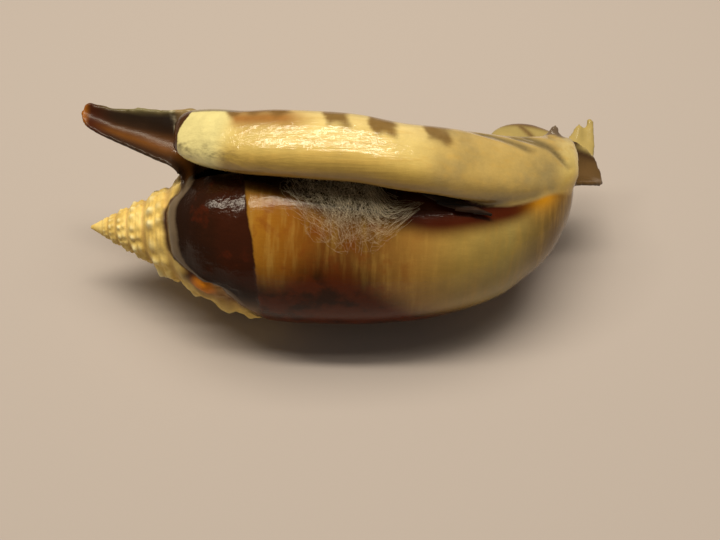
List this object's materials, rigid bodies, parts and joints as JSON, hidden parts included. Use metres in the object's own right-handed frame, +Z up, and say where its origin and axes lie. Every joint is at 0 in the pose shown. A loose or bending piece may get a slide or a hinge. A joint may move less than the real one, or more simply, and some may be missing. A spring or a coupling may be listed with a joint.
{
  "type": "euprotomus aratus shell",
  "caption": "Sea snail shell with a pointed knobbly spire, thick rolled lip, long posterior finger and recurved canal, lying on its side.",
  "frame": {"origin": "bottom centre of the bounding box, on the surface that the shell rests on", "axes": "+X along the coiling axis from the apex of the spire to the canal, +Y away from the aperture side towards the back, +Z up towards the lip"},
  "size_m": [0.0728, 0.0336, 0.0318],
  "materials": {
    "shell_glaze": "glossy glazed shell, golden brown, cream and very dark brown, with a matt cream spire",
    "horn": "dark brown dried horn, half glossy",
    "white_fibre": "loose off-white fibre wad, matt and see-through at its edge"
  },
  "bodies": {
    "root": {"shell": "shell_glaze", "operculum": "horn", "fibre_wad": "white_fibre"}
  },
  "joints": []
}
